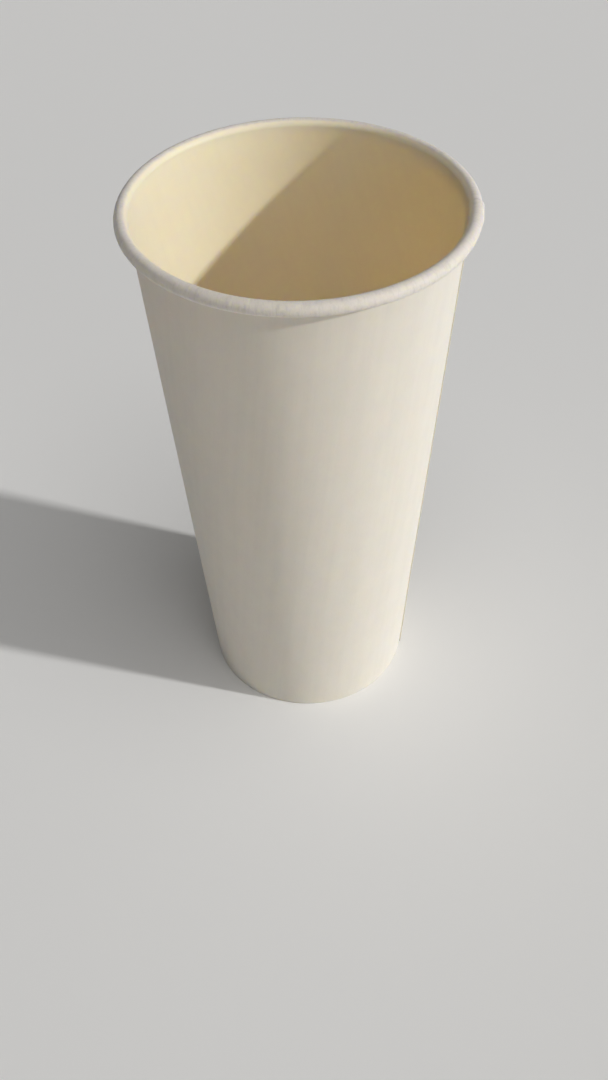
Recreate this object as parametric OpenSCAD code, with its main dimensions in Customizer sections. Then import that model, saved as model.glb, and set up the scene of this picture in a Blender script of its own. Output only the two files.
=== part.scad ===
// Tall single-wall paper cup: a lapped conical sidewall with a rolled rim and a folded heel,
// and a recessed bottom disc whose skirt is held inside the heel.
// The sections are drawn with X as radius and Y as height, and then revolved.

/* [Overall] */
// Outside diameter over the rolled rim
rim_d = 90; // [84:0.5:98]
// Outside diameter of the wall just above the floor
base_d = 62; // [54:0.5:70]
// Height from the floor to the top of the rim
cup_h = 163; // [120:1:185]

/* [Board] */
// Thickness of the sidewall board
wall_t = 0.4; // [0.3:0.02:0.5]
// Thickness of the bottom board
floor_t = 0.36; // [0.3:0.02:0.5]

/* [Rolled rim] */
// Diameter of the roll
curl_d = 3.6; // [3.5:0.1:4.6]
// Gap between the tucked edge of the roll and the wall
curl_gap = 0.1; // [0.05:0.01:0.2]
// Turn of the tucked edge past the underside of the roll, in degrees
tuck_turn = 130; // [95:5:160]

/* [Side seam] */
// Width of the lap, measured round the rim
lap_w = 6; // [4:0.5:9]
// Width over which the outer ply comes back in beside the lap, measured round the rim
runout_w = 4; // [2:0.5:6]
// Direction of the inner ply's raw edge, in degrees from +X
seam_turn = 1; // [-180:1:180]

/* [Heel and bottom] */
// Height of the folded-in hem
hem_h = 7; // [5:0.5:8]
// Height from the floor to the underside of the bottom disc
recess_h = 9.5; // [9:0.5:14]
// Radius inside each fold of the heel
fold_r = 0.1; // [0.06:0.01:0.15]
// Radius inside the bend between the disc and its skirt
skirt_bend_r = 0.6; // [0.3:0.1:1]
// Thickness of the seal on each face of the skirt
seal_gap = 0.05; // [0.03:0.01:0.08]
// Gap under the raw edge of the skirt
skirt_end_gap = 0.3; // [0.1:0.1:1]

/* [Hidden] */
board_colour = [0.93, 0.91, 0.86];
disc_colour = [0.92, 0.88, 0.78];
$fn = 144;

// Keeps a worked-out place on a fine grid, so that pieces of a section meet edge to edge
function snap(v) = round(v * 1000) / 1000;

// Roll: a large turn over the top and a smaller one, tucked up inside it
curl_r = snap(curl_d / 2);
curl_c = [snap(rim_d / 2) - curl_r, cup_h - curl_r];
tuck_r = curl_r - wall_t - curl_gap;
tuck_c = curl_c - [0, curl_r - tuck_r];

// Heel: two bends on one level, with the skirt's channel between them
channel_w = floor_t + 2 * seal_gap;
heel_h = wall_t + fold_r;
outer_bend_x = snap(base_d / 2) - heel_h;
inner_bend_x = outer_bend_x - (channel_w - 2 * fold_r);

// Wall: its cup-side face runs straight from the outer bend to the roll
wall_foot = [outer_bend_x + fold_r, heel_h];
wall_top = curl_c - [curl_r, 0];
flare = (wall_top.x - wall_foot.x) / (wall_top.y - wall_foot.y);

// Radius of the cup-side face at height z
function face_r(z) = wall_foot.x + flare * (z - wall_foot.y);

// Bottom: place of the bend between the disc and its skirt
skirt_bend_z = recess_h - skirt_bend_r;
skirt_bend_x = snap(face_r(skirt_bend_z) - seal_gap) - floor_t - skirt_bend_r;

// Seam: angles of the lap and the run-out, from their widths round the rim
lap_turn = snap(lap_w / curl_c.x * 180 / PI);
runout_turn = snap(runout_w / curl_c.x * 180 / PI);
runout_steps = 4;
// The plies are pressed together from the floor up to this height
pressed_h = recess_h + floor_t + 2;

// A quarter of a ring, from the angle a to a + 90
module quarter_ring(a, r0, r1) {
    rotate(a)
        intersection() {
            difference() {
                circle(r1);
                circle(r0);
            }
            square(r1);
        }
}

// A strip thick wide along X, whose left side runs from p to q
module strip(p, q, thick) {
    polygon([p, p + [thick, 0], q + [thick, 0], q]);
}

// The rolled rim. The sheet's cup-side face becomes the outside of the roll.
module curl_section(lift, thick) {
    big_r = curl_r - lift;
    small_r = tuck_r - lift;
    translate(curl_c)
        for (a = [-90, 0, 90])
            quarter_ring(a, big_r - thick, big_r);
    translate(tuck_c) {
        quarter_ring(180, small_r - thick, small_r);
        intersection() {
            quarter_ring(90, small_r - thick, small_r);
            polygon([[0, 0], [-curl_d, 0], [-curl_d, curl_d * tan(tuck_turn - 90)]]);
        }
    }
}

// The heel's two folds and the hem that stands up inside the skirt
module heel_section(lift, thick) {
    near = fold_r + lift;
    translate([outer_bend_x, heel_h])
        quarter_ring(-90, near, near + thick);
    translate([inner_bend_x, heel_h]) {
        quarter_ring(180, near, near + thick);
        translate([0, -near - thick])
            square([outer_bend_x - inner_bend_x, thick]);
        rise = hem_h - heel_h;
        strip([-near - thick, 0], [flare * rise - near - thick, rise], thick);
    }
}

// The whole sheet: its cup-side face lies lift outside the forming line
module sheet_section(lift, thick) {
    curl_section(lift, thick);
    strip(wall_foot + [lift, 0], wall_top + [lift, 0], thick);
    heel_section(lift, thick);
}

// Keeps what lies between two heights
module between(z0, z1) {
    intersection() {
        children();
        translate([0, z0])
            square([rim_d, z1 - z0]);
    }
}

module sidewall() {
    color(board_colour) {
        // Single ply, round the cup from the end of the run-out to the outer ply's raw edge
        rotate_extrude(start = seam_turn + runout_turn, angle = 360 - runout_turn - lap_turn)
            sheet_section(0, wall_t);
        // Lap: two plies, pressed flush with the floor under the heel
        rotate_extrude(start = seam_turn - lap_turn, angle = lap_turn)
            between(0, cup_h)
                sheet_section(0, 2 * wall_t);
        // Run-out: beside the inner ply's raw edge, the outer ply comes back to the forming line
        for (i = [0:runout_steps - 1]) {
            lift = wall_t * (1 - (i + 0.5) / runout_steps);
            rotate_extrude(
                start = seam_turn + runout_turn * i / runout_steps,
                angle = runout_turn / runout_steps
            ) {
                between(pressed_h, cup_h)
                    sheet_section(lift, wall_t);
                between(0, pressed_h)
                    sheet_section(0, wall_t + lift);
            }
        }
    }
}

module bottom_disc() {
    drop = skirt_bend_z - heel_h - skirt_end_gap;
    color(disc_colour)
        rotate_extrude() {
            translate([0, recess_h])
                square([skirt_bend_x, floor_t]);
            translate([skirt_bend_x, skirt_bend_z]) {
                quarter_ring(0, skirt_bend_r, skirt_bend_r + floor_t);
                strip([skirt_bend_r - flare * drop, -drop], [skirt_bend_r, 0], floor_t);
            }
        }
}

sidewall();
bottom_disc();
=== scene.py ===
import math

import bmesh
import bpy
from bpy.props import FloatProperty, FloatVectorProperty, IntProperty, PointerProperty
from bpy.types import Operator, Panel, PropertyGroup
from mathutils import Color, Matrix, Vector, noise


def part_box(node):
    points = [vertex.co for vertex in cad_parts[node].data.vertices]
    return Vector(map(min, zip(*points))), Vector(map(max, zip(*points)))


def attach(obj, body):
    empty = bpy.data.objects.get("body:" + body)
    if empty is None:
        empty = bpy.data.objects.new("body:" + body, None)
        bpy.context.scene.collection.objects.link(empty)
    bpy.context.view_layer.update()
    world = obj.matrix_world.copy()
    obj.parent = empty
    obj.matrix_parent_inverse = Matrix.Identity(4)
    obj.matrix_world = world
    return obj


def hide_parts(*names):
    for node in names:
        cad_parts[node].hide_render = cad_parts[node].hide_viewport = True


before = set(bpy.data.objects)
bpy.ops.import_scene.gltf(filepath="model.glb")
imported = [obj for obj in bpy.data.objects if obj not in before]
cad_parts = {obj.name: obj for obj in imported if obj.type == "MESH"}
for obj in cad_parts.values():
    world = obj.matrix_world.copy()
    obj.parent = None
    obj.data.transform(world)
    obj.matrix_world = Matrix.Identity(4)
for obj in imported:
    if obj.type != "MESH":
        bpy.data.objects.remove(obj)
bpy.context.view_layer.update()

bl_info = {
    "name": "Paper Cup",
    "version": (1, 0, 0),
    "blender": (4, 5, 0),
    "location": "View3D > Sidebar > Paper Cup",
    "description": "Makes a tall plain paper cup from its wrapped sidewall and its pressed bottom",
    "category": "Add Mesh",
}

# The model's own box, and the corners of its two blanks that the sizes below start from
WALL_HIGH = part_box("sidewall")[1]
DISC_LOW, DISC_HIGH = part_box("bottom_disc")


def mm(value):
    """A length in millimetres, as metres."""
    return value * 0.001


AXIS = Vector((0, 0, 1))
ORIGIN = Vector((0, 0, 0))
RIGHT_ANGLE = math.pi / 2
FULL_TURN = 2 * math.pi

# Steps round the cup in each sheet, and along each run of its section
WALL_COLUMNS = 612
BOTTOM_COLUMNS = 360
HEM_STEPS = 9
FOLD_STEPS = 4
WALL_STEPS = 18
ROLL_STEPS = 28
TUCK_STEPS = 9
SKIRT_STEPS = 10
BEND_STEPS = 8
DISC_STEPS = 24

# Seal between the bottom's skirt and the sheet on each side of it
SEAL = mm(0.05)
# Heights over which the pressed heel eases into the wall, and over which the lap's step is shared out
HEEL_EASE = (mm(1.5), mm(6))
SHARE_EASE = (mm(14), mm(30))
# Width of the edge that springs up on the roll
SPRUNG_WIDTH = mm(1.6)
# Heights over which the wall's bow sets in
BOW_EASE = (mm(4), mm(40))
# Length over which the roll's crinkles set in
CRINKLE_EASE = mm(0.9)
# Where the hem's ribs set in and fade out, from its raw edge
RIBS_START = (mm(0.6), mm(1.2))
RIBS_END = (mm(4.8), mm(5.6))
# How far the flat of the bottom sags and rises
SAG = mm(0.05)
# Place of the roll's first material in the sidewall's list
ROLL_MATERIAL = 3

# Shares of the reach that red, green and blue light go inside the board, from a bare and a coated face
BARE_SPREAD = (1.0, 0.8, 0.5)
COATED_SPREAD = (1.0, 0.85, 0.3)
# Reach of light inside the board, from a bare face, from a coated one, and on the roll and the cut edges
BARE_REACH = mm(0.4)
COATED_REACH = mm(0.5)
SHORT_REACH = mm(0.2)
# Real depth of the relief on a face of the board, and on a cut edge
FACE_RELIEF = mm(0.012)
EDGE_RELIEF = mm(0.03)


def tone(red, green, blue):
    """A screen colour from 0 to 255, as the linear colour that shaders take."""
    return tuple(Color((red / 255, green / 255, blue / 255)).from_srgb_to_scene_linear())


def length(name, text, default):
    """A size property in metres."""
    return FloatProperty(name=name, description=text, default=default, precision=5, unit="LENGTH")


def turn(name, text, degrees):
    """An angle property, whose default is given in degrees."""
    return FloatProperty(name=name, description=text, default=math.radians(degrees), unit="ROTATION")


def number(name, text, default):
    """A property without a unit."""
    return FloatProperty(name=name, description=text, default=default)


def colour(name, text, default):
    """A colour property."""
    return FloatVectorProperty(
        name=name, description=text, default=default, size=3, min=0, max=1, subtype="COLOR",
    )


class CupSizes(PropertyGroup):
    """Sizes of the two blanks and of what forming does to them."""

    rim_radius: length("Rim radius", "Outside radius over the rolled rim", WALL_HIGH.x)
    height: length("Height", "Height from the floor to the top of the rim", WALL_HIGH.z)
    foot_radius: length("Foot radius", "Outside radius of the wall just above the floor", mm(31))
    board: length("Sidewall board", "Thickness of the sidewall board", mm(0.4))
    roll_radius: length("Roll radius", "Outside radius of the rolled rim's section", mm(1.8))
    roll_gap: length("Roll gap", "Gap between the tucked edge of the roll and the wall", mm(0.1))
    tuck_turn: turn("Tuck turn", "Turn of the tucked edge past the underside of the roll", 130)
    hem_height: length("Hem height", "Height of the folded-in hem", mm(7))
    fold_radius: length("Fold radius", "Radius inside each fold of the heel", mm(0.1))
    seam_turn: turn("Seam turn", "Direction of the inner ply's raw edge, from +X", -3)
    lap_width: length("Lap width", "Width of the lap, measured round the rim", mm(6))
    runout_width: length("Run-out width", "Width over which the outer ply comes back in", mm(4))
    lap_press: number("Lap press", "Share of the board's thickness that the lap adds in the heel", 0.95)
    lap_share: number("Lap share", "Share of the lap's step that the inner ply takes", 0.38)
    spring: length("Spring", "How far the inner ply's raw edge springs up on the roll", mm(0.12))
    knurls: IntProperty(name="Knurls", description="Number of ribs pressed into the hem", default=100)
    knurl_depth: length("Knurl depth", "Depth of the ribs pressed into the hem", mm(0.11))
    crinkle: length("Crinkle", "Depth of the crinkles in the rolled rim", mm(0.055))
    rim_start: length("Rim start", "How far up the roll its crinkles begin", mm(1.9))
    bow: length("Bow", "How far the formed wall strays from a true cone", mm(0.12))
    bottom_board: length("Bottom board", "Thickness of the bottom board", mm(0.36))
    bottom_top: length("Bottom height", "Height of the bottom's upper face", DISC_HIGH.z)
    skirt_radius: length("Skirt radius", "Outside radius of the skirt at its bend", DISC_HIGH.x)
    skirt_end: length("Skirt end", "Height of the skirt's raw edge", DISC_LOW.z)
    skirt_bend: length("Skirt bend", "Radius inside the bend between the disc and its skirt", mm(0.6))
    pleat: length("Pleat", "Depth of the gathers round the skirt's bend", mm(0.035))


class CupColours(PropertyGroup):
    """Colours of the board's faces and edges, and of the floor."""

    outside: colour("Outside", "Uncoated face of the sidewall board", tone(229, 223, 210))
    inside: colour("Inside", "Film-coated face of the sidewall board", tone(254, 236, 210))
    rim: colour("Rim", "Film-coated face where the rim's roll stretches it", tone(230, 223, 213))
    edge: colour("Raw edge", "Cut edges of both boards", tone(230, 224, 208))
    bottom_inside: colour("Bottom inside", "Film-coated face of the bottom board", tone(254, 236, 210))
    bottom_outside: colour("Bottom outside", "Uncoated face of the bottom board", tone(222, 214, 196))
    floor: colour("Floor", "Floor under the cup", tone(240, 239, 237))


class StageSettings(PropertyGroup):
    """Place of the camera, and direction, width and strength of the lights."""

    camera_back: length("Camera back", "Distance of the camera in front of the cup's axis", mm(255.3))
    camera_up: length("Camera up", "Height of the camera above the floor", mm(307))
    camera_yaw: turn("Camera yaw", "Turn of the view to the right", -0.195)
    camera_pitch: turn("Camera pitch", "Tilt of the view above the horizon", -45.785)
    camera_roll: turn("Camera roll", "Turn of the camera round its line of sight", -1.627)
    focal_length: number("Focal length", "Lens, in millimetres", 38.59)
    sensor_width: number("Sensor width", "Width of the camera's sensor, in millimetres", 36)
    light_azimuth: turn("Light azimuth", "Direction that the light comes from, from +X", -16.9)
    light_elevation: turn("Light elevation", "Height of the light above the horizon", 27.3)
    light_spread: turn("Light spread", "Angle that the lamp fills, which softens its shadows", 2.6)
    light_strength: number("Light strength", "Strength of the lamp", 2.02)
    screen_azimuth: turn("Screen azimuth", "Direction of the soft screen in front, from +X", -62)
    screen_elevation: turn("Screen elevation", "Height of the soft screen above the horizon", 6)
    screen_spread: turn("Screen spread", "Angle that the soft screen fills", 40)
    screen_strength: number("Screen strength", "Strength of the soft screen", 0.48)
    top_azimuth: turn("Top azimuth", "Direction of the soft screen overhead, from +X", -62)
    top_elevation: turn("Top elevation", "Height of the overhead screen above the horizon", 72)
    top_spread: turn("Top spread", "Angle that the overhead screen fills", 48)
    top_strength: number("Top strength", "Strength of the overhead screen", 0.88)
    fill_strength: number("Fill strength", "Strength of the even light", 0.045)
    backdrop_tone: number("Backdrop tone", "Tone of the backdrop where it is seen", 0.6)
    floor_size: length("Floor size", "Width of the floor", 60)


# Shader nodes

def add_node(tree, kind, place, **settings):
    """Adds a node of a kind at a place in the tree, and sets its settings."""
    made = tree.nodes.new(kind)
    made.location = place
    for name, value in settings.items():
        setattr(made, name, value)
    return made


def new_group(name, inputs, outputs):
    """A node group with named sockets. Gives the tree, its input node and its output node."""
    tree = bpy.data.node_groups.new(name, "ShaderNodeTree")
    for label, kind, default in inputs:
        socket = tree.interface.new_socket(name=label, in_out="INPUT", socket_type=kind)
        if default is not None:
            socket.default_value = default
    for label, kind in outputs:
        tree.interface.new_socket(name=label, in_out="OUTPUT", socket_type=kind)
    given = add_node(tree, "NodeGroupInput", (-1000, 0))
    result = add_node(tree, "NodeGroupOutput", (800, 0))
    return tree, given, result


def noise_node(tree, place, vector, scale, detail, stretch):
    """Noise whose cells are stretched along the board's grain. The scale is a socket, in cells per metre."""
    mapping = add_node(tree, "ShaderNodeMapping", (place[0] - 200, place[1]))
    mapping.inputs["Scale"].default_value = stretch
    made = add_node(tree, "ShaderNodeTexNoise", place)
    made.inputs["Detail"].default_value = detail
    tree.links.new(vector, mapping.inputs["Vector"])
    tree.links.new(mapping.outputs["Vector"], made.inputs["Vector"])
    tree.links.new(scale, made.inputs["Scale"])
    return made.outputs["Fac"]


def maths(tree, place, operation, first, second):
    """A Math node. Each value is a socket or a number."""
    made = add_node(tree, "ShaderNodeMath", place, operation=operation)
    for socket, value in zip(made.inputs, (first, second)):
        if isinstance(value, (int, float)):
            socket.default_value = value
        else:
            tree.links.new(value, socket)
    return made.outputs["Value"]


def ramp(tree, place, value, low, high, to_low=0.0, to_high=1.0):
    """Maps a socket's range from low and high onto another range, and clamps it there."""
    made = add_node(tree, "ShaderNodeMapRange", place)
    made.inputs["From Min"].default_value = low
    made.inputs["From Max"].default_value = high
    made.inputs["To Min"].default_value = to_low
    made.inputs["To Max"].default_value = to_high
    tree.links.new(value, made.inputs["Value"])
    return made.outputs["Result"]


def blend_colours(tree, place, factor, first, second):
    """Mixes two colours. Each is a socket or a fixed colour."""
    made = add_node(tree, "ShaderNodeMix", place, data_type="RGBA")
    tree.links.new(factor, made.inputs["Factor"])
    for label, value in (("A", first), ("B", second)):
        if isinstance(value, tuple):
            made.inputs[label].default_value = value
        else:
            tree.links.new(value, made.inputs[label])
    return made.outputs["Result"]


def paperboard_group():
    """Fibres, mottle and streaks of board, made once. It puts out a colour, a roughness and a height."""
    name = "Paperboard"
    if name in bpy.data.node_groups:
        return bpy.data.node_groups[name]
    tree, given, result = new_group(
        name,
        [
            ("Place", "NodeSocketVector", None),
            ("Colour", "NodeSocketColor", None),
            ("Fibre colour", "NodeSocketColor", None),
            ("Fibres per metre", "NodeSocketFloat", 2600.0),
            ("Mottles per metre", "NodeSocketFloat", 210.0),
            ("Streaks per metre", "NodeSocketFloat", 420.0),
            ("Mottle", "NodeSocketFloat", 0.5),
            ("Streak", "NodeSocketFloat", 0.5),
            ("Roughness", "NodeSocketFloat", 0.8),
        ],
        [("Colour", "NodeSocketColor"), ("Roughness", "NodeSocketFloat"), ("Height", "NodeSocketFloat")],
    )
    sockets = given.outputs
    place = sockets["Place"]
    fibre = noise_node(tree, (-600, 300), place, sockets["Fibres per metre"], 5, (1, 0.22, 1))
    mottle = noise_node(tree, (-600, 0), place, sockets["Mottles per metre"], 4, (1, 0.6, 1))
    streak = noise_node(tree, (-600, -300), place, sockets["Streaks per metre"], 3, (1, 0.03, 1))

    # Colour: each noise shows above its own level, and their sum is scaled to a share of the fibre colour
    fibre_share = 0.35
    whole_share = 1.6
    fibre_mask = ramp(tree, (-350, 300), fibre, 0.5, 0.72)
    mottle_mask = ramp(tree, (-350, 100), mottle, 0.35, 0.68)
    streak_mask = ramp(tree, (-350, -200), streak, 0.38, 0.66)
    fibre_part = maths(tree, (-100, 300), "MULTIPLY", fibre_mask, fibre_share)
    mottle_part = maths(tree, (-200, 0), "MULTIPLY", mottle_mask, sockets["Mottle"])
    streak_part = maths(tree, (-200, -300), "MULTIPLY", streak_mask, sockets["Streak"])
    cloud = maths(tree, (-50, 0), "ADD", mottle_part, streak_part)
    total = maths(tree, (100, 100), "ADD", fibre_part, cloud)
    mask = ramp(tree, (260, 100), total, 0.0, whole_share)
    tint = blend_colours(tree, (450, 200), mask, sockets["Colour"], sockets["Fibre colour"])

    # Roughness: a fibre is up to this much rougher or smoother than the board
    rough_change = 0.06
    fibre_rough = ramp(tree, (260, -100), fibre, 0.3, 0.7, -rough_change, rough_change)
    rough = maths(tree, (450, 0), "ADD", sockets["Roughness"], fibre_rough)

    # Height: fibres, on a mottle that is a little flatter
    mottle_height = maths(tree, (-50, -300), "MULTIPLY", mottle, 0.8)
    height = maths(tree, (100, -200), "ADD", fibre, mottle_height)
    tree.links.new(tint, result.inputs["Colour"])
    tree.links.new(rough, result.inputs["Roughness"])
    tree.links.new(height, result.inputs["Height"])
    return tree


def crinkle_group():
    """Crinkles, stains and painted shade in the crinkles' creases of rolled or gathered board, made once. It
    puts out a colour and a height.
    """
    name = "Crinkle"
    if name in bpy.data.node_groups:
        return bpy.data.node_groups[name]
    tree, given, result = new_group(
        name,
        [
            ("Place", "NodeSocketVector", None),
            ("Colour", "NodeSocketColor", None),
            ("Crease colour", "NodeSocketColor", None),
            ("Crinkles per metre", "NodeSocketFloat", 1500.0),
            ("Flecks per metre", "NodeSocketFloat", 3600.0),
            ("Clouds per metre", "NodeSocketFloat", 330.0),
            ("Amount", "NodeSocketFloat", 1.0),
        ],
        [("Colour", "NodeSocketColor"), ("Height", "NodeSocketFloat")],
    )
    sockets = given.outputs
    place = sockets["Place"]
    folds = noise_node(tree, (-600, 200), place, sockets["Crinkles per metre"], 3, (1, 0.3, 1))
    flecks = noise_node(tree, (-600, -200), place, sockets["Flecks per metre"], 2, (1, 0.6, 1))
    clouds = noise_node(tree, (-600, -500), place, sockets["Clouds per metre"], 4, (1, 0.8, 1))

    # Colour: painted shade in the creases where the folds are low, and stains as flecks and clouds where
    # their noise is high
    crease_shade_share, fleck_share, cloud_share = 0.4, 0.35, 0.5
    crease_shade_mask = ramp(tree, (-350, 300), folds, 0.5, 0.36)
    fleck_mask = ramp(tree, (-350, -100), flecks, 0.54, 0.7)
    cloud_mask = ramp(tree, (-350, -400), clouds, 0.48, 0.68)
    crease_shade = maths(tree, (-200, 200), "MULTIPLY", crease_shade_mask, crease_shade_share)
    fleck = maths(tree, (-200, -200), "MULTIPLY", fleck_mask, fleck_share)
    cloud = maths(tree, (-200, -500), "MULTIPLY", cloud_mask, cloud_share)
    stains_and_crease_shade = maths(tree, (-100, 0), "ADD", crease_shade, fleck)
    stains_and_crease_shade = maths(tree, (-50, 0), "ADD", stains_and_crease_shade, cloud)
    mask = maths(tree, (0, 100), "MULTIPLY", stains_and_crease_shade, sockets["Amount"])
    tint = blend_colours(tree, (300, 200), mask, sockets["Colour"], sockets["Crease colour"])

    # Height: folds are this many times deeper than flecks
    fold_depth = 9.0
    deep_folds = maths(tree, (-100, -100), "MULTIPLY", folds, fold_depth)
    height = maths(tree, (100, -100), "ADD", deep_folds, flecks)
    relief = maths(tree, (300, -100), "MULTIPLY", height, sockets["Amount"])
    tree.links.new(tint, result.inputs["Colour"])
    tree.links.new(relief, result.inputs["Height"])
    return tree


# Materials

def group_node(tree, place, group, values):
    """Places a node group in a material with its own values."""
    made = add_node(tree, "ShaderNodeGroup", place, node_tree=group)
    for name, value in values.items():
        made.inputs[name].default_value = value
    return made


def new_material(name, viewport):
    """A material with a Principled BSDF. Gives the material, its tree and the shader."""
    material = bpy.data.materials.new(name)
    material.use_nodes = True
    material.diffuse_color = (*viewport, 1)
    return material, material.node_tree, material.node_tree.nodes["Principled BSDF"]


def uv_place(tree, place, name):
    """Where a point lies in one of the piece's UV maps, in metres."""
    return add_node(tree, "ShaderNodeUVMap", place, uv_map=name).outputs["UV"]


def mark_value(tree, place, name):
    """The value of one of the marks that shaping left on the piece."""
    return add_node(tree, "ShaderNodeAttribute", place, attribute_name=name).outputs["Fac"]


def object_place(tree):
    """Where a point lies in space, in metres."""
    return add_node(tree, "ShaderNodeTexCoord", (-1000, 0)).outputs["Object"]


def bump_from(tree, shader, height, distance):
    """Feeds a height to the shader's normal. The distance is the relief's real depth."""
    bump = add_node(tree, "ShaderNodeBump", (-250, -350))
    bump.inputs["Strength"].default_value = 1.0
    bump.inputs["Distance"].default_value = distance
    tree.links.new(height, bump.inputs["Height"])
    tree.links.new(bump.outputs["Normal"], shader.inputs["Normal"])


def shift(base, factor):
    """A colour scaled by a factor, with alpha, for a socket."""
    return (*(min(1.0, channel * factor) for channel in base), 1)


def let_light_through(shader, reach, spread):
    """Lets light spread inside the thin board, so that some comes out warmer on its other face."""
    shader.subsurface_method = "RANDOM_WALK"
    shader.inputs["Subsurface Weight"].default_value = 1.0
    shader.inputs["Subsurface Radius"].default_value = spread
    shader.inputs["Subsurface Scale"].default_value = reach


def uncoated_material(name, base, streak=0.5):
    """Bare board: matte, with fibres, a faint mottle and long streaks along the grain."""
    material, tree, shader = new_material(name, base)
    board = group_node(tree, (-650, 100), paperboard_group(), {
        "Colour": shift(base, 1.0),
        "Fibre colour": shift(base, 0.93),
        "Mottle": 0.5,
        "Streak": streak,
        "Roughness": 0.82,
    })
    tree.links.new(uv_place(tree, (-1000, 0), "blank"), board.inputs["Place"])
    tree.links.new(board.outputs["Colour"], shader.inputs["Base Color"])
    tree.links.new(board.outputs["Roughness"], shader.inputs["Roughness"])
    bump_from(tree, shader, board.outputs["Height"], FACE_RELIEF)
    shader.inputs["Specular IOR Level"].default_value = 0.3
    let_light_through(shader, BARE_REACH, BARE_SPREAD)
    return material


def coated_material(name, base, rim, rim_amount, reach):
    """Film-coated board: a soft sheen over faint fibres.

    Where the sheet is rolled or gathered it takes the rim's colour, stains and crinkles with painted shade
    in their creases, and is duller.
    The gap beside the seam's raw edge carries a painted shadow, where the ply's step would shade the sheet.
    """
    material, tree, shader = new_material(name, base)
    board = group_node(tree, (-650, 100), paperboard_group(), {
        "Colour": shift(base, 1.0),
        "Fibre colour": shift(base, 0.965),
        "Mottle": 0.6,
        "Streak": 0.4,
        "Roughness": 0.5,
    })
    crinkle = group_node(tree, (-650, -300), crinkle_group(), {
        "Colour": shift(rim, 1.0),
        # The crease colour is both the painted shade in the crinkles' creases and the tone of their stains
        "Crease colour": shift(rim, 0.86),
        "Amount": rim_amount,
    })
    tree.links.new(uv_place(tree, (-1000, 0), "blank"), board.inputs["Place"])
    tree.links.new(uv_place(tree, (-1000, -150), "wrap"), crinkle.inputs["Place"])
    rolled = mark_value(tree, (-1000, -300), "rolled")
    # Mark of the painted shadow beside the seam's raw edge, where the ply's step would shade the sheet
    seam = mark_value(tree, (-500, 500), "seam")

    tint = blend_colours(tree, (-350, 300), rolled, board.outputs["Colour"], crinkle.outputs["Colour"])
    # Painted shadow: the colour darkens towards 0.35 of the base beside the seam's raw edge
    with_seam_shadow = blend_colours(tree, (-150, 400), seam, tint, shift(base, 0.35))
    tree.links.new(with_seam_shadow, shader.inputs["Base Color"])

    duller = maths(tree, (-500, 0), "MULTIPLY", rolled, 0.12)
    rough = maths(tree, (-350, 0), "ADD", board.outputs["Roughness"], duller)
    tree.links.new(rough, shader.inputs["Roughness"])

    folds = maths(tree, (-500, -400), "MULTIPLY", crinkle.outputs["Height"], rolled)
    relief = maths(tree, (-400, -250), "ADD", board.outputs["Height"], folds)
    bump_from(tree, shader, relief, FACE_RELIEF)
    shader.inputs["Specular IOR Level"].default_value = 0.4
    let_light_through(shader, reach, COATED_SPREAD)
    return material


def edge_material(name, base):
    """Cut edge of board: open fibres, rougher and a little darker than a face."""
    material, tree, shader = new_material(name, base)
    board = group_node(tree, (-650, 100), paperboard_group(), {
        "Colour": shift(base, 1.0),
        "Fibre colour": shift(base, 0.85),
        "Fibres per metre": 5200.0,
        "Mottle": 0.8,
        "Streak": 0.0,
        "Roughness": 0.92,
    })
    tree.links.new(object_place(tree), board.inputs["Place"])
    tree.links.new(board.outputs["Colour"], shader.inputs["Base Color"])
    tree.links.new(board.outputs["Roughness"], shader.inputs["Roughness"])
    bump_from(tree, shader, board.outputs["Height"], EDGE_RELIEF)
    shader.inputs["Specular IOR Level"].default_value = 0.2
    let_light_through(shader, SHORT_REACH, BARE_SPREAD)
    return material


def floor_material(base):
    """Plain matte floor with a very faint grain in its gloss."""
    material, tree, shader = new_material("floor", base)
    grain = add_node(tree, "ShaderNodeTexNoise", (-700, 0))
    grain.inputs["Scale"].default_value = 60.0
    grain.inputs["Detail"].default_value = 6.0
    tree.links.new(object_place(tree), grain.inputs["Vector"])
    rough = ramp(tree, (-400, 0), grain.outputs["Fac"], 0.3, 0.7, 0.6, 0.72)
    tree.links.new(rough, shader.inputs["Roughness"])
    shader.inputs["Base Color"].default_value = (*base, 1)
    shader.inputs["Specular IOR Level"].default_value = 0.25
    return material


# Section drawing

def draw_line(bm, tip, end, steps):
    """Draws a straight run of edges on from the tip to the end. Gives the new tip."""
    move = (end - tip.co) / steps
    for _ in range(steps):
        tip = bmesh.ops.extrude_vert_indiv(bm, verts=[tip])["verts"][0]
        bmesh.ops.translate(bm, verts=[tip], vec=move)
    return tip


def draw_bend(bm, tip, centre, angle, steps):
    """Draws a round run of edges on from the tip, clockwise for a positive angle. Gives the new tip."""
    step = Matrix.Rotation(angle / steps, 3, "Y")
    for _ in range(steps):
        tip = bmesh.ops.extrude_vert_indiv(bm, verts=[tip])["verts"][0]
        bmesh.ops.rotate(bm, verts=[tip], cent=centre, matrix=step)
    return tip


def drawn_points(bm):
    """The points of a drawn section, in the order in which they were drawn. Frees the bmesh."""
    points = [vert.co.copy() for vert in bm.verts]
    bm.free()
    return points


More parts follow.
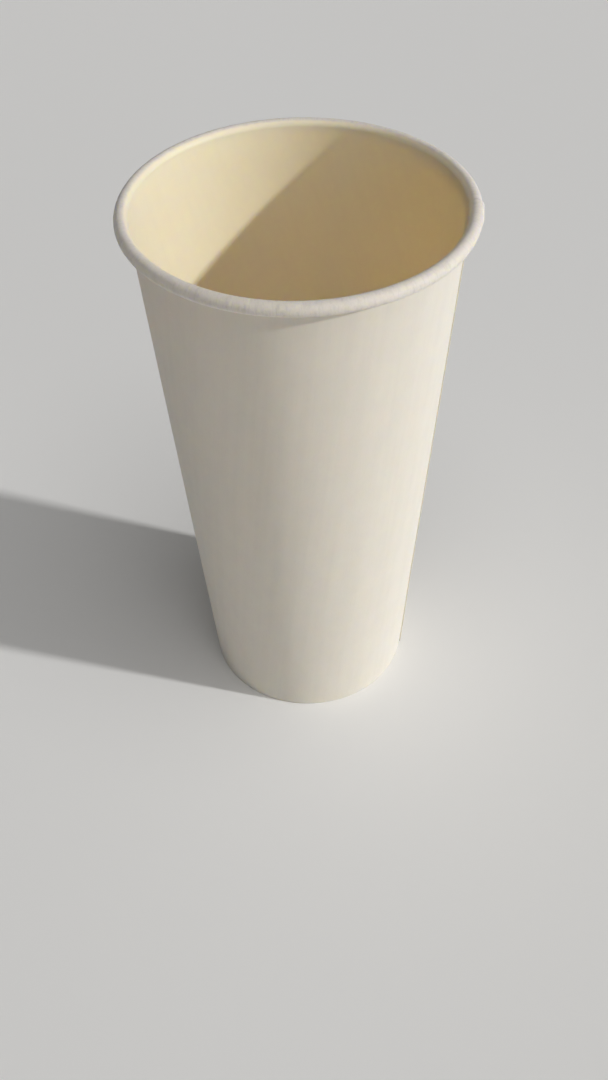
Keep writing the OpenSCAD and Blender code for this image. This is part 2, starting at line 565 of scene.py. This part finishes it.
class SheetForm:
    """The sidewall's section, worked out from the cup's sizes. It follows the sheet's cup-side face."""

    def __init__(self, sizes):
        self.roll = Vector((sizes.rim_radius - sizes.roll_radius, 0, sizes.height - sizes.roll_radius))
        tuck_radius = sizes.roll_radius - sizes.board - sizes.roll_gap
        self.tuck = self.roll - Vector((0, 0, sizes.roll_radius - tuck_radius))
        heel_height = sizes.board + sizes.fold_radius
        channel = sizes.bottom_board + 2 * SEAL
        self.outer_bend = Vector((sizes.foot_radius - heel_height, 0, heel_height))
        self.inner_bend = self.outer_bend - Vector((channel - 2 * sizes.fold_radius, 0, 0))
        run = self.roll - self.outer_bend
        both_radii = sizes.roll_radius + sizes.fold_radius
        self.lean = math.atan2(run.x, run.z) - math.asin(both_radii / run.length)
        self.up = Vector((math.sin(self.lean), 0, math.cos(self.lean)))
        self.out = Vector((math.cos(self.lean), 0, -math.sin(self.lean)))
        self.hem_foot = self.inner_bend - self.out * sizes.fold_radius
        self.hem_top = self.hem_foot + self.up * ((sizes.hem_height - self.hem_foot.z) / self.up.z)
        self.wall_top = self.roll - self.out * sizes.roll_radius
        self.hem_length = (self.hem_top - self.hem_foot).length
        self.wall_length = (self.wall_top - self.outer_bend).length

    def section(self, sizes):
        """The section's points, from the hem's raw edge to the tucked edge of the roll."""
        bm = bmesh.new()
        tip = draw_line(bm, bm.verts.new(self.hem_top), self.hem_foot, HEM_STEPS)
        tip = draw_bend(bm, tip, self.inner_bend, -RIGHT_ANGLE - self.lean, FOLD_STEPS)
        tip = draw_line(bm, tip, self.outer_bend - AXIS * sizes.fold_radius, 1)
        tip = draw_bend(bm, tip, self.outer_bend, -RIGHT_ANGLE + self.lean, FOLD_STEPS)
        tip = draw_line(bm, tip, self.wall_top, WALL_STEPS)
        tip = draw_bend(bm, tip, self.roll, 3 * RIGHT_ANGLE - self.lean, ROLL_STEPS)
        draw_bend(bm, tip, self.tuck, sizes.tuck_turn, TUCK_STEPS)
        return drawn_points(bm)


class BottomForm:
    """The bottom's section, worked out from the cup's sizes. It follows the sheet's outer face."""

    def __init__(self, sizes, form):
        bend_radius = sizes.skirt_bend + sizes.bottom_board
        bend_turn = RIGHT_ANGLE + form.lean
        self.bend = Vector((sizes.skirt_radius - bend_radius, 0, sizes.bottom_top - bend_radius))
        self.bend_turn = bend_turn
        self.skirt_top = self.bend + form.out * bend_radius
        drop = (self.skirt_top.z - sizes.skirt_end) / form.up.z
        self.skirt_end = self.skirt_top - form.up * drop
        skirt_length = (self.skirt_top - self.skirt_end).length
        self.whole_length = skirt_length + bend_radius * bend_turn + self.bend.x

    def section(self, sizes):
        """The section's points, from the skirt's raw edge to the middle of the disc."""
        bm = bmesh.new()
        tip = draw_line(bm, bm.verts.new(self.skirt_end), self.skirt_top, SKIRT_STEPS)
        tip = draw_bend(bm, tip, self.bend, -self.bend_turn, BEND_STEPS)
        draw_line(bm, tip, AXIS * sizes.bottom_top, DISC_STEPS)
        return drawn_points(bm)


# Sheets

def sweep_section(section, start_turn, total, steps):
    """Turns a section of points clockwise round the axis, on past a full turn where the total is more.

    Gives the new bmesh. Its layers hold each vertex's turn from the sweep's start and its distance along the
    section, and leave room for how far it is rolled and how dark the painted shadow beside the seam is
    there.
    """
    bm = bmesh.new()
    for name in ("turned", "along", "rolled", "seam"):
        bm.verts.layers.float.new(name)
    turned, along = float_layers(bm, "turned", "along")
    first = bm.verts.new(Matrix.Rotation(start_turn, 3, "Z") @ section[0])
    bmesh.ops.spin(
        bm, geom=[first], cent=ORIGIN, axis=AXIS, dvec=ORIGIN, angle=-total, steps=steps,
        use_merge=False, use_duplicate=False,
    )
    for index, vert in enumerate(bm.verts):
        vert[turned] = total * index / steps
    ring = bm.edges[:]
    for before, after in zip(section, section[1:]):
        made = bmesh.ops.extrude_edge_only(bm, edges=ring)["geom"]
        fresh = {part for part in made if isinstance(part, bmesh.types.BMVert)}
        edges = [part for part in made if isinstance(part, bmesh.types.BMEdge)]
        ring = [edge for edge in edges if fresh.issuperset(edge.verts)]
        grown = after.x / before.x
        bmesh.ops.scale(bm, verts=list(fresh), vec=(grown, grown, 1))
        bmesh.ops.translate(bm, verts=list(fresh), vec=(0, 0, after.z - before.z))
        step = (after - before).length
        for vert in fresh:
            vert[along] += step
    return bm


def float_layers(bm, *names):
    """The float layers of these names."""
    return tuple(bm.verts.layers.float[name] for name in names)


def smooth_step(value, low, high):
    """0 below low, 1 above high, and an even ramp between."""
    share = min(1.0, max(0.0, (value - low) / (high - low)))
    return share * share * (3 - 2 * share)


def move_verts(bm, moves):
    """Moves every vertex at once, so that no move is worked out from a moved neighbour."""
    for vert, move in zip(bm.verts, moves):
        vert.co += move


def towards_axis(place):
    """Level direction from a place to the cup's axis."""
    return Vector((-place.x, -place.y, 0))


def face_normals_towards(bm, direction_of):
    """Recalculates the sheet's normals, and turns them all over unless they follow the direction."""
    bmesh.ops.recalc_face_normals(bm, faces=bm.faces)
    widest = max(bm.faces, key=lambda face: face.calc_area())
    if widest.normal.dot(direction_of(widest.calc_center_median())) < 0:
        bmesh.ops.reverse_faces(bm, faces=bm.faces)
    bm.normal_update()


def outer_ply(sizes, turned):
    """1 where the sheet is the lap's outer ply, and an even run-out beside the inner ply's raw edge."""
    runout = sizes.runout_width / sizes.rim_radius
    return smooth_step(turned, FULL_TURN - runout, FULL_TURN)


def inner_ply(sizes, turned):
    """1 where the sheet is the lap's inner ply, and an even run-out beside the outer ply's raw edge."""
    lap = sizes.lap_width / sizes.rim_radius
    runout = sizes.runout_width / sizes.rim_radius
    return 1 - smooth_step(turned, lap, lap + runout)


def lay_plies(bm, sizes):
    """Moves the sheet off the forming line, so that its two ends lap.

    Above the bottom, both plies share the step. In the heel the inner ply stays, and is pressed up on the
    outer one. On the roll the inner ply's raw edge springs up.
    """
    turned, = float_layers(bm, "turned")
    roll_heights = (sizes.height - 2 * sizes.roll_radius, sizes.height - sizes.roll_radius)
    moves = []
    for vert in bm.verts:
        outer = outer_ply(sizes, vert[turned])
        inner = inner_ply(sizes, vert[turned])
        heel = 1 - smooth_step(vert.co.z, *HEEL_EASE)
        share = sizes.lap_share * smooth_step(vert.co.z, *SHARE_EASE)
        rolled = smooth_step(vert.co.z, *roll_heights)
        sprung = 1 - smooth_step(vert[turned] * sizes.rim_radius, 0, SPRUNG_WIDTH)
        lift = sizes.board * (outer * (1 - share) - inner * share) - sizes.spring * rolled * sprung
        move = -vert.normal * lift
        move.z *= 1 - heel
        moves.append(move + AXIS * (sizes.board * sizes.lap_press * inner * heel))
    move_verts(bm, moves)


def wall_bow(level, height):
    """Stray of the wall from a true cone, from -1 to 1, in a level direction at a share of the height."""
    round_scale, up_scale = 1.3, 1.6
    return noise.noise(Vector((level.x * round_scale, level.y * round_scale, height * up_scale)))


def roll_crinkle(arc, across):
    """Depth of the roll's crinkles, coarse and fine, for a way round the rim and up the section."""
    fine_share = 0.6
    coarse = noise.noise(Vector((arc / mm(1.5), across / mm(3.2), 3.1)))
    fine = noise.noise(Vector((arc / mm(1.0), across / mm(2.4), 7.7)))
    return coarse + fine_share * fine


def painted_gap_shadow(seam_gap, rolled):
    """How dark the painted shadow is beside the inner ply's raw edge, where its step would shade the sheet.
    The shadowed gap is wider and darker on the roll.
    """
    near = mm(0.2) + mm(0.67) * rolled
    shade = 0.3 + 0.6 * rolled
    return shade * (1 - smooth_step(seam_gap, near, near + mm(0.4)))


def mark_and_press(bm, sizes, rim_start):
    """Adds what forming leaves in real board: a slight bow, crinkles across the roll and ribs in the hem.

    It also marks how far each vertex is rolled, and how dark the painted shadow in the seam's gap is there.
    """
    turned, along, rolled, seam = float_layers(bm, "turned", "along", "rolled", "seam")
    moves = []
    for vert in bm.verts:
        angle = vert[turned]
        across = vert[along]
        level = Vector((vert.co.x, vert.co.y, 0)).normalized()
        bow = wall_bow(level, vert.co.z / sizes.height)
        move = level * (bow * sizes.bow * smooth_step(vert.co.z, *BOW_EASE))
        amount = smooth_step(across, rim_start, rim_start + CRINKLE_EASE)
        if amount > 0:
            depth = roll_crinkle(angle * sizes.rim_radius, across)
            move += vert.normal * (sizes.crinkle * amount * depth)
        ribs = smooth_step(across, *RIBS_START) * (1 - smooth_step(across, *RIBS_END))
        if ribs > 0:
            move += level * (ribs * sizes.knurl_depth * math.cos(sizes.knurls * angle))
        moves.append(move)
        vert[rolled] = amount
        # Painted shadow in the gap beside the inner ply's raw edge, darker on the roll
        vert[seam] = painted_gap_shadow((FULL_TURN - angle) * sizes.rim_radius, amount)
    move_verts(bm, moves)


def gather_bend(bm, sizes, bottom):
    """Gathers the bottom's board round its bend, and lets the flat of the disc sag a little.

    It turns the distance along the section round, so that it is the distance from the middle of the blank.
    """
    along, rolled = float_layers(bm, "along", "rolled")
    bend_start = bottom.bend.x - mm(2.5)
    bend_end = bottom.bend.x + mm(0.5)
    coarse_scale, fine_scale, fine_share = 22, 47, 0.7
    sags_per_metre = 45
    moves = []
    for vert in bm.verts:
        vert[along] = bottom.whole_length - vert[along]
        gather = smooth_step(vert[along], bend_start, bend_end)
        vert[rolled] = gather
        angle = math.atan2(vert.co.y, vert.co.x)
        ring = Vector((math.cos(angle), math.sin(angle), 0))
        pleat = noise.noise(ring * coarse_scale) + fine_share * noise.noise(ring * fine_scale)
        sag = noise.noise(Vector((vert.co.x, vert.co.y, 0)) * sags_per_metre) * (1 - gather)
        moves.append(vert.normal * (sizes.pleat * pleat * gather) + AXIS * (sag * SAG))
    move_verts(bm, moves)


def unroll_fan(bm, lean, foot, rim_radius):
    """Writes two UV maps in metres.

    Blank is where each point lies on the flat fan-shaped blank, with the grain along Y. Wrap is its way
    round the rim and up the section.
    """
    turned, along = float_layers(bm, "turned", "along")
    blank = bm.loops.layers.uv.new("blank")
    wrap = bm.loops.layers.uv.new("wrap")
    for face in bm.faces:
        for loop in face.loops:
            radius = foot + loop.vert[along]
            swing = loop.vert[turned] * math.sin(lean)
            loop[blank].uv = (radius * math.sin(swing), radius * math.cos(swing))
            loop[wrap].uv = (loop.vert[turned] * rim_radius, loop.vert[along])


def unroll_disc(bm):
    """Writes both UV maps in metres, each as the place on the flat round blank."""
    along, = float_layers(bm, "along")
    blank = bm.loops.layers.uv.new("blank")
    wrap = bm.loops.layers.uv.new("wrap")
    for face in bm.faces:
        for loop in face.loops:
            level = Vector((loop.vert.co.x, loop.vert.co.y)).normalized()
            loop[blank].uv = level * loop.vert[along]
            loop[wrap].uv = level * loop.vert[along]


def finish_piece(bm, name, materials, board, node_name):
    """Makes the object of a sheet, gives it its thickness, hangs it under the root body and hides the
    model's part that it replaces.

    The materials come in threes: of the sheet's own face, of its other face and of its cut edges.
    """
    for edge in bm.edges:
        edge.smooth = not edge.is_boundary
    for face in bm.faces:
        face.smooth = True
    mesh = bpy.data.meshes.new(name)
    bm.to_mesh(mesh)
    bm.free()
    for material in materials:
        mesh.materials.append(material)
    piece = bpy.data.objects.new(name, mesh)
    bpy.context.scene.collection.objects.link(piece)
    shell = piece.modifiers.new("board", "SOLIDIFY")
    shell.thickness = board
    shell.offset = -1
    shell.use_even_offset = True
    shell.material_offset = 1
    shell.material_offset_rim = 2
    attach(piece, "root")
    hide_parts(node_name)


# Operators

class CUP_OT_sidewall(Operator):
    """Make the sidewall: one blank, wrapped and lapped, with its roll and its folded heel"""

    bl_idname = "cup.sidewall"
    bl_label = "Make sidewall"

    def execute(self, context):
        sizes = context.scene.cup_sizes
        form = SheetForm(sizes)
        total = FULL_TURN + sizes.lap_width / sizes.rim_radius
        rim_start = form.hem_length + form.wall_length + sizes.rim_start
        bm = sweep_section(form.section(sizes), sizes.seam_turn, total, WALL_COLUMNS)
        face_normals_towards(bm, towards_axis)
        lay_plies(bm, sizes)
        bm.normal_update()
        mark_and_press(bm, sizes, rim_start)
        blank_foot = form.outer_bend.x / math.sin(form.lean) - form.hem_length
        unroll_fan(bm, form.lean, blank_foot, sizes.rim_radius)
        materials = self.make_materials(context.scene.cup_colours)
        self.give_roll_own_material(bm, rim_start)
        finish_piece(bm, "wrapped_sidewall", materials, sizes.board, "sidewall")
        return {"FINISHED"}

    def make_materials(self, colours):
        """Three materials for the wall, and from ROLL_MATERIAL on three for the roll."""
        outside = uncoated_material("sidewall_outside", colours.outside)
        edge = edge_material("sidewall_raw_edge", colours.edge)
        inside, rim = (
            coated_material(name, colours.inside, colours.rim, rim_amount=1.0, reach=reach)
            for name, reach in (("sidewall_inside", COATED_REACH), ("sidewall_rim", SHORT_REACH))
        )
        return [inside, outside, edge, rim, outside, edge]

    def give_roll_own_material(self, bm, rim_start):
        """Gives the faces that are rolled the first of the roll's three materials."""
        along, = float_layers(bm, "along")
        for face in bm.faces:
            if min(vert[along] for vert in face.verts) > rim_start:
                face.material_index = ROLL_MATERIAL


class CUP_OT_bottom(Operator):
    """Make the bottom: one round blank, pressed into a disc with a turned-down skirt"""

    bl_idname = "cup.bottom"
    bl_label = "Make bottom"

    def execute(self, context):
        sizes = context.scene.cup_sizes
        colours = context.scene.cup_colours
        bottom = BottomForm(sizes, SheetForm(sizes))
        bm = sweep_section(bottom.section(sizes), 0, FULL_TURN, BOTTOM_COLUMNS)
        bmesh.ops.remove_doubles(bm, verts=bm.verts, dist=mm(0.001))
        face_normals_towards(bm, lambda place: AXIS)
        gather_bend(bm, sizes, bottom)
        unroll_disc(bm)
        top = colours.bottom_inside
        materials = [
            coated_material("bottom_inside", top, top, rim_amount=0.4, reach=COATED_REACH),
            uncoated_material("bottom_outside", colours.bottom_outside, streak=0.2),
            edge_material("bottom_raw_edge", colours.edge),
        ]
        finish_piece(bm, "pressed_bottom", materials, sizes.bottom_board, "bottom_disc")
        return {"FINISHED"}


class CUP_OT_stage(Operator):
    """Make the stage: floor, camera, lamp, two soft screens and a pale backdrop with an even light"""

    bl_idname = "cup.stage"
    bl_label = "Make stage"

    def execute(self, context):
        stage = context.scene.cup_stage
        self.make_floor(context, stage, context.scene.cup_colours)
        self.make_camera(context, stage)
        self.make_lamps(context, stage)
        self.make_backdrop(context, stage)
        context.scene.view_settings.view_transform = "Standard"
        return {"FINISHED"}

    def make_floor(self, context, stage, colours):
        """A flat floor under the cup, which reaches the horizon."""
        bm = bmesh.new()
        bmesh.ops.create_grid(bm, x_segments=8, y_segments=8, size=stage.floor_size / 2)
        mesh = bpy.data.meshes.new("floor")
        bm.to_mesh(mesh)
        bm.free()
        mesh.materials.append(floor_material(colours.floor))
        floor = bpy.data.objects.new("floor", mesh)
        context.scene.collection.objects.link(floor)

    def make_camera(self, context, stage):
        """The camera, in front of the cup and above it."""
        camera = bpy.data.objects.new("camera", bpy.data.cameras.new("camera"))
        camera.data.lens = stage.focal_length
        camera.data.sensor_width = stage.sensor_width
        camera.data.clip_start = mm(10)
        place = Matrix.Translation((0, -stage.camera_back, stage.camera_up))
        yaw = Matrix.Rotation(-stage.camera_yaw, 4, "Z")
        pitch = Matrix.Rotation(RIGHT_ANGLE + stage.camera_pitch, 4, "X")
        roll = Matrix.Rotation(stage.camera_roll, 4, "Z")
        camera.matrix_world = place @ yaw @ pitch @ roll
        context.scene.collection.objects.link(camera)
        context.scene.camera = camera

    def make_lamps(self, context, stage):
        """The lamp and the two soft screens, each from the four settings whose names start alike."""
        for name, prefix in (("lamp", "light"), ("screen", "screen"), ("top_screen", "top")):
            azimuth = getattr(stage, prefix + "_azimuth")
            elevation = getattr(stage, prefix + "_elevation")
            lamp = bpy.data.objects.new(name, bpy.data.lights.new(name, "SUN"))
            lamp.data.energy = getattr(stage, prefix + "_strength")
            lamp.data.angle = getattr(stage, prefix + "_spread")
            level = math.cos(elevation)
            direction = Vector((level * math.cos(azimuth), level * math.sin(azimuth), math.sin(elevation)))
            lamp.location = direction
            lamp.rotation_mode = "QUATERNION"
            lamp.rotation_quaternion = direction.to_track_quat("Z", "Y")
            context.scene.collection.objects.link(lamp)

    def make_backdrop(self, context, stage):
        """A world that gives a weak even light, and looks pale where it is seen or mirrored."""
        world = bpy.data.worlds.new("even_light")
        world.use_nodes = True
        tree = world.node_tree
        background = tree.nodes["Background"]
        background.inputs["Color"].default_value = (1, 1, 1, 1)
        rays = add_node(tree, "ShaderNodeLightPath", (-900, 0)).outputs
        seen = maths(tree, (-650, 100), "MAXIMUM", rays["Is Camera Ray"], rays["Is Glossy Ray"])
        seen = maths(tree, (-450, 100), "MAXIMUM", seen, rays["Is Transmission Ray"])
        strength = ramp(tree, (-250, 100), seen, 0.0, 1.0, stage.fill_strength, stage.backdrop_tone)
        tree.links.new(strength, background.inputs["Strength"])
        context.scene.world = world


class CUP_PT_panel(Panel):
    """Lists the cup's sizes, its colours, the stage's settings and the operators"""

    bl_idname = "CUP_PT_panel"
    bl_label = "Paper Cup"
    bl_space_type = "VIEW_3D"
    bl_region_type = "UI"
    bl_category = "Paper Cup"

    def draw(self, context):
        layout = self.layout
        for title, group in (
            ("Sizes", context.scene.cup_sizes),
            ("Colours", context.scene.cup_colours),
            ("Stage", context.scene.cup_stage),
        ):
            box = layout.box()
            box.label(text=title)
            for name in group.__annotations__:
                box.prop(group, name)
        for operator in OPERATORS:
            layout.operator(operator.bl_idname)


GROUPS = (CupSizes, CupColours, StageSettings)
OPERATORS = (CUP_OT_sidewall, CUP_OT_bottom, CUP_OT_stage)


def register():
    for made in (*GROUPS, *OPERATORS, CUP_PT_panel):
        bpy.utils.register_class(made)
    bpy.types.Scene.cup_sizes = PointerProperty(type=CupSizes)
    bpy.types.Scene.cup_colours = PointerProperty(type=CupColours)
    bpy.types.Scene.cup_stage = PointerProperty(type=StageSettings)


def unregister():
    del bpy.types.Scene.cup_stage
    del bpy.types.Scene.cup_colours
    del bpy.types.Scene.cup_sizes
    for made in reversed((*GROUPS, *OPERATORS, CUP_PT_panel)):
        bpy.utils.unregister_class(made)


def main():
    """Makes the cup and its stage."""
    register()
    bpy.ops.cup.sidewall()
    bpy.ops.cup.bottom()
    bpy.ops.cup.stage()


if __name__ == "__main__":
    main()
